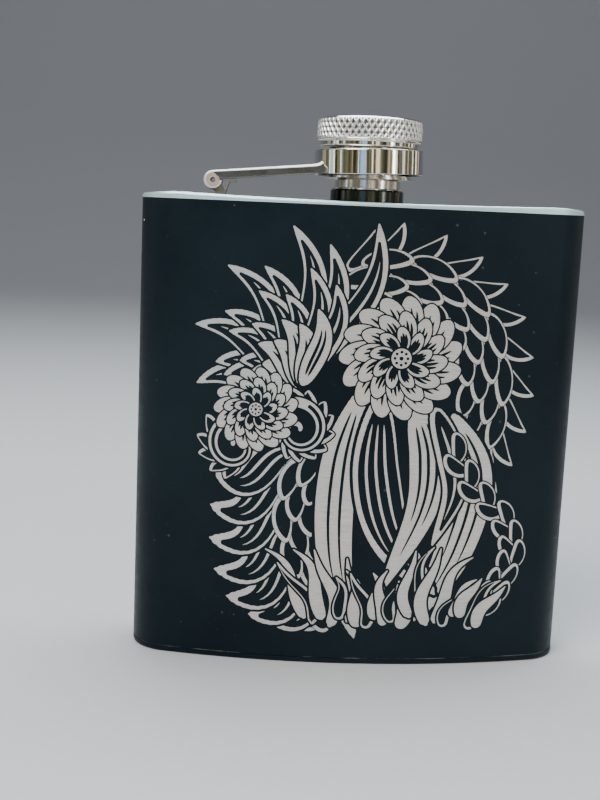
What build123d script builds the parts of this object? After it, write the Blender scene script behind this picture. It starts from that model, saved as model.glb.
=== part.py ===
from build123d import *
import os
from math import cos, radians, sin, sqrt

# Hip flask with a captive screw cap on a hinged arm.
# Millimetres, +Z up, standing on z = 0 with the curved front towards -Y.

os.makedirs("parts", exist_ok=True)

# ---- body -------------------------------------------------------------------
width = 95.0             # side to side
seam_z = 98.0            # height at which the front and back panels end
thickness = 21.0         # front to back on the centre line
front_radius = 170.0     # plan radius of the bulging front
back_radius = 230.0      # plan radius of the hollow back
side_radius = 9.0        # plan radius of the rounded sides
sheet = 0.6              # steel of the two panels
floor_sheet = 1.2        # steel of the bottom plate
lid_mid = 0.9            # visible edge of the top plate at the neck
lid_end = 1.45           # and near its two ends, because the plate is slightly dished
lid_tip = 0.8            # and at the very ends, where it droops
edge_round = 0.6         # rolled-over outer edge of both plates

# ---- neck and mouth ---------------------------------------------------------
boss_r = 7.75
boss_h = 2.5
neck_r = 6.9             # plain part of the spout, seen between boss and cap
mouth_r = 4.4            # bore of the spout
thread_pitch = 1.5
spout_root_r = 5.15
spout_crest_r = 5.75
core_crest_r = 5.35
core_bore_r = 5.95
spout_h = 9.2            # spout above the top plate
spout_inside = 2.2       # spout below the seam, inside the flask

# ---- cap --------------------------------------------------------------------
ring_r = 11.5
ring_low = 5.55          # heights above the top plate at the neck
ring_top = 10.7
ring_tilt = 1.7          # degrees; the loose ring leans up on the side away from the hinge
ring_wall = 0.75
flange_r = 9.3
core_low = 4.75
flange_t = 0.4
barrel_r = 7.0
head_r = 9.9
knob_r = 11.1
knob_curl = 11.1         # underside of the knob's rolled-in lip
knob_low = 12.35         # lower edge of the knurled band
knob_step_r = 10.4       # stepped-in part below the band
knob_high = 17.2         # where the rounded shoulder meets the slightly domed top
knob_shoulder = 1.2
knob_crown = 17.65       # middle of the top
knob_wall = 0.7
gasket_t = 1.0

# ---- hinge and arm ----------------------------------------------------------
pin_x = -32.5
pin_h = 3.2              # pin axis above the top plate
pin_r = 1.35
pin_bore_r = 0.55
curl_r = 1.93            # outer radius of the rolled knuckles
knuckle_half = 1.7       # bracket's knuckle, in the middle
knuckle_gap = 0.2
arm_half = 4.7           # half width at the hinge
arm_half_ring = 5.8      # half width where the arm meets the ring
arm_sheet = 0.75
arm_depth = 1.78         # depth of the channel's two walls
arm_rise = 0.1005        # slope of the arm, up towards the ring

# ---- places worked out from the sizes ---------------------------------------
half = width / 2
deck_z = seam_z + lid_mid
back_horn = side_radius + back_radius - sqrt((back_radius + side_radius) ** 2 - (half - side_radius) ** 2)
neck_y = (ring_r - thickness / 2 - back_horn) / 2      # centres the whole flask on y = 0
front_y = neck_y - thickness / 2
back_y = neck_y + thickness / 2
split_y = front_y + 14.2                               # side seam between the two panels
pin_z = deck_z + pin_h
neck_axis = Axis((0, neck_y, 0), (0, 0, 1))
neck_plane = Plane((0, neck_y, 0), x_dir=(1, 0, 0), z_dir=(0, -1, 0))  # upright, local x outwards from the neck


def bow(radius, x):
    """How far an arc of this radius falls back at distance x from its middle."""
    return radius - sqrt(radius ** 2 - x ** 2)


def outline(z, inset=0.0):
    """Plan outline of the flask at height z, drawn in by inset all round."""
    with BuildSketch(Plane.XY.offset(z)) as plan:
        with BuildLine():
            front_end = front_y + bow(front_radius, half)
            back_end = back_y + bow(back_radius, half)
            ThreePointArc((-half, front_end), (0, front_y), (half, front_end))
            Line((half, front_end), (half, back_end))
            ThreePointArc((half, back_end), (0, back_y), (-half, back_end))
            Line((-half, back_end), (-half, front_end))
        make_face()
        fillet(plan.vertices(), side_radius)
        if inset:
            offset(amount=-inset, mode=Mode.REPLACE)
    return plan


def finish(piece, name):
    """Labels one finished piece and writes it."""
    piece.part.label = name
    export_step(piece.part, f"parts/{name}.step")
    print(f"{name:16s} {piece.part.volume:10.1f} mm3")


# ---- front and back panels: one tube of sheet, parted along both sides ------
panel_height = seam_z - floor_sheet

with BuildPart() as front_panel:
    add(outline(floor_sheet).sketch)
    extrude(amount=panel_height)
    add(outline(floor_sheet, sheet).sketch)
    extrude(amount=panel_height, mode=Mode.SUBTRACT)
    split(bisect_by=Plane((0, split_y, 0), x_dir=(1, 0, 0), z_dir=(0, 1, 0)), keep=Keep.BOTTOM)
finish(front_panel, "front_panel")

with BuildPart() as back_panel:
    add(outline(floor_sheet).sketch)
    extrude(amount=panel_height)
    add(outline(floor_sheet, sheet).sketch)
    extrude(amount=panel_height, mode=Mode.SUBTRACT)
    split(bisect_by=Plane((0, split_y, 0), x_dir=(1, 0, 0), z_dir=(0, 1, 0)), keep=Keep.TOP)
finish(back_panel, "back_panel")

# ---- bottom plate -----------------------------------------------------------
with BuildPart() as bottom_plate:
    add(outline(0).sketch)
    extrude(amount=floor_sheet)
    fillet(bottom_plate.faces().sort_by(Axis.Z)[0].edges(), edge_round)
finish(bottom_plate, "bottom_plate")

# ---- top plate: slightly dished along its length ----------------------------
dish_half = 38.0         # half length of the dished stretch

with BuildPart() as top_plate:
    add(outline(seam_z).sketch)
    extrude(amount=lid_end)
    with BuildSketch(Plane.XZ):
        with BuildLine():
            high_z = seam_z + lid_end
            tip_z = seam_z + lid_tip
            droop_z = seam_z + 0.85 * lid_end + 0.15 * lid_tip
            ThreePointArc((-half, tip_z), ((-half - dish_half) / 2, droop_z), (-dish_half, high_z))
            ThreePointArc((-dish_half, high_z), (0, deck_z), (dish_half, high_z))
            ThreePointArc((dish_half, high_z), ((half + dish_half) / 2, droop_z), (half, tip_z))
            Polyline((half, tip_z), (half, high_z + 1), (-half, high_z + 1), (-half, tip_z))
        make_face()
    extrude(amount=width, both=True, mode=Mode.SUBTRACT)
    fillet(top_plate.edges().filter_by(lambda e: e.center().Z > seam_z + 0.2), edge_round)
    # hole for the spout, and a flat seat for the boss round it
    with BuildSketch(Plane.XY.offset(seam_z)):
        with Locations((0, neck_y)):
            Circle(neck_r)
    extrude(amount=lid_end, mode=Mode.SUBTRACT)
    with BuildSketch(Plane.XY.offset(deck_z)):
        with Locations((0, neck_y)):
            Circle(boss_r)
    extrude(amount=lid_end, mode=Mode.SUBTRACT)
finish(top_plate, "top_plate")

# ---- neck boss: turned collar welded round the spout ------------------------
with BuildPart() as neck_boss:
    with BuildSketch(neck_plane):
        with BuildLine():
            Polyline(
                (neck_r, deck_z),
                (boss_r, deck_z),
                (boss_r, deck_z + boss_h - 0.3),
                (boss_r - 0.3, deck_z + boss_h),
                (neck_r, deck_z + boss_h),
                close=True,
            )
        make_face()
    revolve(axis=neck_axis)
finish(neck_boss, "neck_boss")

# ---- neck spout: threaded tube with a lip inside the flask -------------------
spout_top = deck_z + spout_h
thread_low = deck_z + 5.6        # middle of the first thread of the spout

with BuildPart() as neck_spout:
    with BuildSketch(neck_plane):
        with BuildLine():
            Polyline(
                (mouth_r, seam_z - spout_inside),
                (neck_r + 0.9, seam_z - spout_inside),
                (neck_r + 0.9, seam_z),
                (neck_r, seam_z),
                (neck_r, deck_z + core_low - 0.35),
                (neck_r - 0.25, deck_z + core_low - 0.1),
                (spout_root_r, deck_z + core_low - 0.1),
                (spout_root_r, spout_top - 0.25),
                (spout_root_r - 0.25, spout_top),
                (mouth_r, spout_top),
                close=True,
            )
        make_face()
    revolve(axis=neck_axis)
    with BuildLine():
        male_path = Helix(pitch=thread_pitch, height=2.8, radius=spout_root_r, center=(0, neck_y, thread_low))
    with BuildSketch(Plane(male_path @ 0, x_dir=(1, 0, 0), z_dir=male_path % 0)) as male_ridge:
        with BuildLine():
            crest = spout_crest_r - spout_root_r
            Polyline((-0.15, -0.48), (crest, -0.15), (crest, 0.15), (-0.15, 0.48), close=True)
        make_face()
    sweep(sections=male_ridge.sketch, path=male_path, is_frenet=True)
finish(neck_spout, "neck_spout")

# ---- hinge bracket: foot, middle knuckle and the tab that the arm rests on --
hinge_plane = Plane((pin_x, neck_y, deck_z), x_dir=(1, 0, 0), z_dir=(0, -1, 0))
foot_half = 4.0
foot_low = (lid_end - lid_mid) * ((pin_x + 0.7) / dish_half) ** 2   # the dished plate is higher here

with BuildPart() as hinge_bracket:
    with BuildSketch(hinge_plane):
        with BuildLine():
            Polyline(
                (0.7, foot_low),
                (2.5, foot_low),
                (3.45, 2.9),
                (4.95, 3.05),
                (4.95, 3.45),
                (3.1, 3.3),
                (2.15, foot_low + 0.5),
                (0.7, foot_low + 0.5),
                close=True,
            )
        make_face()
    extrude(amount=foot_half, both=True)
    with BuildSketch(hinge_plane):
        with BuildLine():
            Polyline((-0.3, 1.6), (0.7, foot_low), (2.2, foot_low), (2.1, 1.6), (1.4, 3.3), (0, 3.3), close=True)
        make_face()
        with Locations((0, pin_h)):
            Circle(curl_r)
            Circle(pin_r, mode=Mode.SUBTRACT)
    extrude(amount=knuckle_half, both=True)
finish(hinge_bracket, "hinge_bracket")

# ---- hinge pin: tubular, flush with the arm's two curls ---------------------
with BuildPart() as hinge_pin:
    with BuildSketch(hinge_plane):
        with Locations((0, pin_h)):
            Circle(pin_r)
            Circle(pin_bore_r, mode=Mode.SUBTRACT)
    extrude(amount=arm_half - 0.05, both=True)
finish(hinge_pin, "hinge_pin")

# ---- cap arm: one stamping, channel and ring, with two curls round the pin ---
arm_reach = -pin_x               # from the pin to the neck axis
web_at_pin = pin_h + curl_r * sqrt(1 + arm_rise ** 2)
curl_inner = knuckle_half + knuckle_gap


# the ring's own tilted frame: its origin is the middle of the hole in the ring's upper wall
ring_centre = Vector(0, neck_y, deck_z + ring_top - ring_wall / 2)
ring_lean = Vector(-sin(radians(ring_tilt)), 0, cos(radians(ring_tilt)))
ring_axis = Axis(ring_centre, ring_lean)
ring_plane = Plane(ring_centre, x_dir=(ring_lean.Z, 0, -ring_lean.X), z_dir=(0, -1, 0))
ring_drop = ring_top - ring_wall / 2 - ring_low


def web_height(u):
    """Upper face of the arm at distance u from the pin, above the plate."""
    return web_at_pin + arm_rise * u


def channel_block(start, inset, drop, depth):
    """Wedge under the arm's upper face, from start to the neck axis, narrower by inset at both sides."""
    with BuildPart() as block:
        with BuildSketch(hinge_plane):
            with BuildLine():
                Polyline(
                    (start, web_height(start) - drop),
                    (arm_reach, web_height(arm_reach) - drop),
                    (arm_reach, web_height(arm_reach) - depth),
                    (start, web_height(start) - depth),
                    close=True,
                )
            make_face()
        extrude(amount=arm_half_ring, both=True)
        with BuildSketch(Plane((pin_x, neck_y, deck_z))):
            with BuildLine():
                Polyline(
                    (start, inset - arm_half),
                    (arm_reach, inset - arm_half_ring),
                    (arm_reach, arm_half_ring - inset),
                    (start, arm_half - inset),
                    close=True,
                )
            make_face()
        extrude(amount=ring_top, mode=Mode.INTERSECT)
    return block.part


with BuildPart() as cap_arm:
    add(channel_block(0.2, 0, 0, arm_depth))
    add(channel_block(2.6, arm_sheet, arm_sheet, 2 * arm_depth), mode=Mode.SUBTRACT)
    # the two curls, with the bracket's knuckle between them
    with BuildSketch(hinge_plane):
        with Locations((0, pin_h)):
            Circle(curl_r)
    extrude(amount=arm_half, both=True)
    with BuildSketch(hinge_plane):
        with Locations((0, pin_h)):
            Rectangle(2 * curl_r + 1, 2 * curl_r + 1)
    extrude(amount=curl_inner, both=True, mode=Mode.SUBTRACT)
    with BuildSketch(hinge_plane):
        with Locations((0, pin_h)):
            Circle(pin_r + 0.05)
    extrude(amount=arm_half, both=True, mode=Mode.SUBTRACT)
    # the ring: a shallow cup, open below, that the cap's barrel passes through
    with BuildSketch(ring_plane):
        with BuildLine():
            Polyline((0, -ring_drop), (ring_r, -ring_drop), (ring_r, ring_wall / 2), (0, ring_wall / 2), close=True)
        make_face()
    revolve(axis=ring_axis)
    fillet(cap_arm.edges().filter_by(GeomType.CIRCLE).group_by(Axis.Z)[-1], 0.45)
    with BuildSketch(ring_plane):
        with BuildLine():
            cup_r = ring_r - ring_wall
            hole_r = barrel_r + 0.35
            Polyline(
                (0, -2 * ring_drop),
                (cup_r, -2 * ring_drop),
                (cup_r, -ring_wall / 2),
                (hole_r, -ring_wall / 2),
                (hole_r, ring_wall),
                (0, ring_wall),
                close=True,
            )
        make_face()
    revolve(axis=ring_axis, mode=Mode.SUBTRACT)
finish(cap_arm, "cap_arm")

# ---- cap core: threaded barrel through the ring, flange below, head above ----
bore_top = spout_h + 0.05 + gasket_t      # roof of the barrel, above the gasket
female_low = thread_low + thread_pitch / 2
head_low = knob_curl + knob_wall
head_t = 1.7

with BuildPart() as cap_core:
    with BuildSketch(neck_plane):
        with BuildLine():
            Polyline(
                (core_bore_r, deck_z + core_low),
                (flange_r, deck_z + core_low),
                (flange_r, deck_z + core_low + flange_t),
                (barrel_r, deck_z + core_low + flange_t),
                (barrel_r, deck_z + head_low),
                (head_r, deck_z + head_low),
                (head_r, deck_z + head_low + head_t),
                (0, deck_z + head_low + head_t),
                (0, deck_z + bore_top),
                (core_bore_r, deck_z + bore_top),
                close=True,
            )
        make_face()
    revolve(axis=neck_axis)
    with BuildLine():
        female_path = Helix(pitch=thread_pitch, height=2.3, radius=core_bore_r, center=(0, neck_y, female_low))
    with BuildSketch(Plane(female_path @ 0, x_dir=(1, 0, 0), z_dir=female_path % 0)) as female_ridge:
        with BuildLine():
            crest = core_crest_r - core_bore_r
            Polyline((0.15, -0.48), (crest, -0.14), (crest, 0.14), (0.15, 0.48), close=True)
        make_face()
    sweep(sections=female_ridge.sketch, path=female_path, is_frenet=True)
finish(cap_core, "cap_core")

# ---- gasket: soft disc in the roof of the barrel, closing on the spout -------
with BuildPart() as cap_gasket:
    with BuildSketch(Plane((0, neck_y, deck_z + bore_top - gasket_t))):
        Circle(core_bore_r - 0.02)
    extrude(amount=gasket_t)
finish(cap_gasket, "cap_gasket")

# ---- slip washer: lies on the flange, inside the ring ------------------------
washer_low = core_low + flange_t + 0.05
washer_t = 0.3

with BuildPart() as slip_washer:
    with BuildSketch(Plane((0, neck_y, deck_z + washer_low))):
        Circle(flange_r - 0.3)
        Circle(barrel_r + 0.1, mode=Mode.SUBTRACT)
    extrude(amount=washer_t)
finish(slip_washer, "slip_washer")

# ---- knob: drawn shell, its lower edge rolled in under the head --------------
lip_r = head_r - 1.6
curl_round = 0.3

with BuildPart() as cap_knob:
    with BuildSketch(neck_plane) as shell:
        with BuildLine():
            Line((0, deck_z + knob_high - 1), (0, deck_z + knob_crown))
            ThreePointArc(
                (0, deck_z + knob_crown),
                (knob_r / 2, deck_z + knob_crown - (knob_crown - knob_high) / 4),
                (knob_r, deck_z + knob_high),
            )
            Polyline(
                (knob_r, deck_z + knob_high),
                (knob_r, deck_z + knob_low),
                (knob_step_r, deck_z + knob_low),
                (knob_step_r, deck_z + knob_curl),
                (lip_r, deck_z + knob_curl),
                (lip_r, deck_z + knob_high - 1),
                (0, deck_z + knob_high - 1),
            )
        make_face()
        upper_rim = Vector(knob_r, deck_z + knob_high)
        fillet(shell.vertices().sort_by_distance(upper_rim)[0], knob_shoulder)
        curl_edge = Vector(knob_step_r, deck_z + knob_curl)
        fillet(shell.vertices().sort_by_distance(curl_edge)[0], curl_round)
    revolve(axis=neck_axis)
    # hollow for the head of the core and the filler
    with BuildSketch(neck_plane):
        with BuildLine():
            Polyline(
                (0, deck_z + head_low),
                (head_r + 0.02, deck_z + head_low),
                (knob_r - knob_wall, deck_z + knob_low + 0.5),
                (knob_r - knob_wall, deck_z + knob_high - knob_shoulder),
                (knob_r - knob_wall - 0.6, deck_z + knob_high - knob_wall),
                (0, deck_z + knob_high - knob_wall),
                close=True,
            )
        make_face()
    revolve(axis=neck_axis, mode=Mode.SUBTRACT)
finish(cap_knob, "cap_knob")

# ---- filler: moulded disc that backs the thin top of the knob ----------------
filler_low = head_low + head_t
filler_top = knob_high - knob_wall

with BuildPart() as knob_filler:
    with BuildSketch(Plane((0, neck_y, deck_z + filler_low))):
        Circle(knob_r - knob_wall - 0.05)
    extrude(amount=filler_top - filler_low)
    chamfer(knob_filler.edges().group_by(Axis.Z)[0], 0.3)
    chamfer(knob_filler.edges().group_by(Axis.Z)[-1], 0.65)
finish(knob_filler, "knob_filler")
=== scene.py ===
"""Looks of the hip flask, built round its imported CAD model. Everything is in the CAD frame.

Meshes are worked out in millimetres and scaled to Blender's metres when they are made.
"""

import math

import bmesh
import bpy
import numpy as np
from mathutils import Matrix, Vector
from mathutils.geometry import delaunay_2d_cdt


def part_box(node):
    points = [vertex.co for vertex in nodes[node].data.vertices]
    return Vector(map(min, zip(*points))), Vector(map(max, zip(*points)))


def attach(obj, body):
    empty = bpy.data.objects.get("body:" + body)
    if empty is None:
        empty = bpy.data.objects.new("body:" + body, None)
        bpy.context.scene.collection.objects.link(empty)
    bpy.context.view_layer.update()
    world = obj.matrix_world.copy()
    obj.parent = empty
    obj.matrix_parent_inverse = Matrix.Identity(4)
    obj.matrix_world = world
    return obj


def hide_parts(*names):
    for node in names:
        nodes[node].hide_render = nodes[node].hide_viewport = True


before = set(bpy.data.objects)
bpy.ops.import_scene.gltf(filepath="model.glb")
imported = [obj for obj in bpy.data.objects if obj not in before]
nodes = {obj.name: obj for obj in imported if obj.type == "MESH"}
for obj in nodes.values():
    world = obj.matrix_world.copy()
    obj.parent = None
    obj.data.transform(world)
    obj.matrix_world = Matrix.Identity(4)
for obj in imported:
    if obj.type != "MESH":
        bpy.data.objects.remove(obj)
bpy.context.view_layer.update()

MM = 0.001


# ---- sizes, from the CAD nodes ----
def box(node):
    """Lowest and highest corner of a CAD node, in millimetres."""
    low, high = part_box(node)
    return np.array(low) / MM, np.array(high) / MM


panel_low, panel_high = box("front_panel")
boss_low, boss_high = box("neck_boss")
arm_low, arm_high = box("cap_arm")
knob_low, knob_high = box("cap_knob")
pin_low, pin_high = box("hinge_pin")

half = panel_high[0]             # half the flask's width
front_y = panel_low[1]
split_y = panel_high[1]          # side seam between the panels
seam_z = panel_high[2]           # where the top plate starts
floor_z = panel_low[2]           # where the bottom plate ends
deck_z = boss_low[2]             # top plate at the neck
neck_y = (boss_low[1] + boss_high[1]) / 2
pin_x = (pin_low[0] + pin_high[0]) / 2
pin_z = (pin_low[2] + pin_high[2]) / 2
pin_r = (pin_high[2] - pin_low[2]) / 2
knob_r = knob_high[0]
ring_r = arm_high[1] - neck_y
boss_r = boss_high[0]
neck_r = 6.9                     # outside of the spout above the top plate

front_radius = 170.0             # plan radii of the panels, as in the CAD model
side_radius = 9.0
sheet = 0.6
etch_depth = 0.07                # thickness of the coat
edge_chamfer = 0.22              # broken lower edge of the front panel
line_tolerance = 0.02            # how far the ornament's outlines may be simplified
smallest_mark = 0.5              # width plus height of the smallest mark that is kept


# ---- meshes ----
def make_object(name, verts, faces, materials, slots=None, normals=None, sharp=35.0):
    """Mesh object from points in millimetres. slots is by face, normals by corner."""
    mesh = bpy.data.meshes.new(name)
    mesh.from_pydata([tuple(v) for v in np.asarray(verts) * MM], [], faces)
    for material in materials:
        mesh.materials.append(material)
    if slots is not None:
        mesh.polygons.foreach_set("material_index", np.array(slots, dtype=np.int32))
    mesh.shade_smooth()
    if normals is None:
        mesh.set_sharp_from_angle(angle=math.radians(sharp))
    else:
        mesh.normals_split_custom_set(normals)
    obj = bpy.data.objects.new(name, mesh)
    bpy.context.scene.collection.objects.link(obj)
    return obj


def quads(rows, columns, closed=False):
    """Faces of a grid of points whose columns close on themselves, and whose rows do too if it is closed."""
    faces = []
    for row in range(rows if closed else rows - 1):
        here, under = row * columns, (row + 1) % rows * columns
        for k in range(columns):
            after = (k + 1) % columns
            faces.append((here + k, under + k, under + after, here + after))
    return faces


def revolve(profile, centre, count, swell=None):
    """Points and quads of a closed outline of (radius, height) turned round an upright axis.

    swell(angle, row) gives a change of radius for each row of the outline.
    """
    angle = np.linspace(0, 2 * np.pi, count, endpoint=False)
    rings = []
    for row, (r, z) in enumerate(profile):
        radius = r + (swell(angle, row) if swell else 0) * np.ones(count)
        ring = [centre[0] + radius * np.cos(angle), centre[1] + radius * np.sin(angle), np.full(count, z)]
        rings.append(np.stack(ring, axis=1))
    return np.concatenate(rings), quads(len(profile), count, closed=True)


def arc(centre, radius, start, end, count):
    """Points on an arc, with angles in degrees."""
    angle = np.radians(np.linspace(start, end, count))
    return [(centre[0] + radius * np.cos(a), centre[1] + radius * np.sin(a)) for a in angle]


# ---- etched ornament: brushes ----
class Etching:
    """The ornament burnt through the coat, as a field on a fine grid in millimetres. Bare is below zero.

    Points are complex numbers, x + i z, with x from the middle of the panel and z from the ground.
    """

    def __init__(self, low, high, step):
        self.step = step
        self.x = np.arange(low.real, high.real, step)
        self.z = np.arange(low.imag, high.imag, step)
        self.field = np.full((len(self.z), len(self.x)), 5.0)

    def brush(self, path, radii, bare=True):
        """Sweeps a round brush of changing radius along a path, to bare the steel or to leave the coat on."""
        for start, end, r0, r1 in zip(path[:-1], path[1:], radii[:-1], radii[1:]):
            reach = (max(r0, r1) + 4 * self.step) * np.array([-1, 1])
            columns = slice(*np.searchsorted(self.x, np.sort((start.real, end.real)) + reach))
            rows = slice(*np.searchsorted(self.z, np.sort((start.imag, end.imag)) + reach))
            here = self.x[None, columns] + 1j * self.z[rows, None] - start
            way = end - start
            along = np.clip((here * np.conj(way)).real / max(abs(way) ** 2, 1e-9), 0, 1)
            distance = np.abs(here - along * way) - (r0 + (r1 - r0) * along)
            part = self.field[rows, columns]
            self.field[rows, columns] = np.minimum(part, distance) if bare else np.maximum(part, -distance)

    def dot(self, centre, radius, bare=True):
        self.brush(np.array([centre, centre + 0.01]), np.array([radius, radius]), bare)


def bowed(start, end, belly=0.0, sway=0.0, count=22):
    """Line from start to end. belly bows it to the left and sway makes an S of it, as shares of the way."""
    t = np.linspace(0, 1, count)
    way = end - start
    return start + way * t + 1j * way * (belly * 4 * t * (1 - t) + sway * np.sin(2 * np.pi * t))


def through(points, count=60):
    """Smooth line through a few points: a Catmull-Rom curve."""
    p = np.array([2 * points[0] - points[1], *points, 2 * points[-1] - points[-2]])
    u = np.linspace(0, len(points) - 1 - 1e-9, count)
    k, f = u.astype(int), u % 1
    a, b, c, d = p[k], p[k + 1], p[k + 2], p[k + 3]
    return 0.5 * (2 * b + (c - a) * f + (2 * a - 5 * b + 4 * c - d) * f**2 + (3 * b - a - 3 * c + d) * f**3)


def tangent(path):
    """Unit direction of a line at each of its points."""
    way = np.gradient(path)
    return way / np.abs(way)


def swelling(count, peak, blunt=1.0):
    """Half width of a leaf along its length, 0 at both ends and 1 at the peak."""
    t = np.linspace(0, 1, count)
    a, b = peak * 2 * blunt, (1 - peak) * 2 * blunt
    return (t / peak) ** a * ((1 - t) / (1 - peak)) ** b


def leaf(etch, path, wide, rim=0.62, gap=0.5, peak=0.38, fill=False, veins=0):
    """A pointed leaf with a bare rim, coated or bare inside, set off by a gap from what lies under it."""
    shape = wide * swelling(len(path), peak, 0.75)
    edge = rim * np.sqrt(np.linspace(1.04, 0.08, len(path)))
    etch.brush(path, shape + edge + gap, bare=False)
    etch.brush(path, shape + edge)
    side = 1j * tangent(path)
    if not fill:
        hollow = shape * (1 - np.linspace(0, 1, len(path)) ** 5)
        inner = slice(0, max(3, int(0.92 * len(path))))
        etch.brush((path + 0.35 * rim * side)[inner], hollow[inner], bare=False)
    for k in range(veins):
        lane = (k + 1) / (veins + 1) * 2 - 1
        part = slice(int(0.12 * len(path)), int((0.86 - 0.25 * abs(lane)) * len(path)))
        line = (path + side * lane * shape)[part]
        etch.brush(line, 0.3 * swelling(len(line), 0.4, 0.5) + 0.03, bare=not fill)


# ---- etched ornament: motifs ----
def plume_fan(etch, root, rows):
    """Long pointed plumes that spread from one root, in rows that get shorter and lie over each other."""
    for row in range(rows):
        reach = (1.0, 0.72, 0.47)[row]
        for k in range(9 - row):
            share = (k + 0.5 * row) / 8
            angle = np.radians(180 - 112 * share)
            length = (20 + 14.5 * share + 2.6 * (-1) ** k) * reach
            base = root + 3.2 * np.exp(1j * (angle + 0.35)) * (1 - 0.3 * row)
            path = bowed(base, root + length * np.exp(1j * angle), belly=-0.12, sway=0.03)
            wide = 2.1 - 0.25 * row
            leaf(etch, path, wide, rim=0.75, gap=0.4, peak=0.45, fill=row == 2, veins=1 + row // 2)


def garland(etch, spine, lanes, length, wide, rim=0.68):
    """Band of overlapping leaves that point along a spine."""
    steps = np.concatenate([[0], np.cumsum(np.abs(np.diff(spine)))])
    heading = tangent(spine)
    place = np.arange(0, steps[-1] - length * 0.4, length * 0.5)[::-1]
    for k, at in enumerate(place):
        for lane in range(k % 2, lanes, 2):
            offset = (lane - (lanes - 1) / 2) * wide * 1.7
            first, last = np.searchsorted(steps, [at, min(at + length, steps[-1])])
            last = min(last, len(spine) - 1)
            track = (spine + 1j * heading * offset)[first : last + 1 : max(1, (last - first) // 14)]
            if len(track) > 3:
                leaf(etch, track, wide, rim=rim, gap=0.1, peak=0.5)


def fringe(etch, spine, offset, count, length, lean, wide=1.25):
    """Pointed leaves that stand out from one side of a band."""
    heading = tangent(spine)
    hand = np.sign(offset)
    for i in (np.linspace(0.03, 0.97, count) * (len(spine) - 1)).astype(int):
        base = spine[i] + 1j * heading[i] * offset
        tip = base + length * heading[i] * np.exp(1j * hand * lean)
        leaf(etch, bowed(base, tip, belly=-0.12 * hand), wide, gap=0.3, peak=0.4)


def rosette(etch, centre, size, rings):
    """Flower seen from the front, in rings of veined petals round a beaded heart."""
    for ring in range(rings):
        reach = size * (1 - 0.25 * ring)
        count = 15 - 3 * ring
        for k in range(count):
            angle = 2 * np.pi * (k + 0.5 * (ring % 2)) / count
            base = centre + 0.25 * reach * np.exp(1j * angle)
            path = bowed(base, centre + reach * np.exp(1j * (angle + 0.25)), belly=-0.10)
            leaf(etch, path, 0.17 * reach, rim=0.35, gap=0.28, peak=0.6, fill=True, veins=3)
    heart = 0.17 * size
    etch.dot(centre, heart + 0.4, bare=False)
    etch.dot(centre, heart)
    etch.dot(centre, 0.2 * heart, bare=False)
    for k in range(8):
        etch.dot(centre + 0.64 * heart * np.exp(2j * np.pi * k / 8), 0.14 * heart, bare=False)


def plait(etch, spine, count, length, wide):
    """Leaves that come in turn from the left and from the right of a spine."""
    heading = tangent(spine)
    for k, i in enumerate((np.linspace(0, 0.93, count) * (len(spine) - 1)).astype(int)):
        side = (-1) ** k
        base = spine[i] + 1j * heading[i] * side * wide * 1.5
        tip = base + length * heading[i] * np.exp(-0.5j * side)
        leaf(etch, bowed(base, tip, belly=0.16 * side), wide, gap=0.25, peak=0.5)


def volute(etch, centre, size, start, turns, hand, width):
    """Scroll of bare steel that opens outwards, with small leaves along its outer turn."""
    t = np.linspace(0, 1, 90)
    path = centre + size * (0.12 + 0.88 * t) ** 1.1 * np.exp(1j * (start + hand * 2 * np.pi * turns * t))
    radii = width * (0.45 + 0.75 * t)
    fringe(etch, path[42:], -hand * width * 0.6, 9, size * 0.55, 0.6, wide=0.8)
    etch.brush(path, radii + 0.45, bare=False)
    etch.brush(path, radii)
    etch.brush(path[20:-6], radii[20:-6] * 0.38, bare=False)


def droop(etch, roots, tips, wide, belly, sway):
    """Row of broad ribbed leaves hanging from one line to another, each over the one before."""
    for root, tip in zip(roots, tips):
        leaf(etch, bowed(root, tip, belly, sway), wide, rim=0.75, gap=0.45, peak=0.5, veins=2)


def tuft(etch, start, end, count, height, seed):
    """Upright pointed blades on an uneven line, bare and coated in turn."""
    draw = np.random.default_rng(seed)
    for k, foot in enumerate(np.linspace(start, end, count)):
        foot = foot + 1j * draw.uniform(-1.2, 2.6)
        lean = 1.1 * (k / (count - 1) - 0.5) + draw.uniform(-0.25, 0.25)
        tip = foot + height * draw.uniform(0.45, 1.15) * np.exp(1j * (np.pi / 2 - lean))
        blade = bowed(foot, tip, belly=0.10 * np.sign(lean), sway=0.05 * (-1) ** k)
        leaf(etch, blade, draw.uniform(0.7, 1.25), rim=0.5, gap=0.4, peak=0.25, fill=k % 3 != 1)


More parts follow.
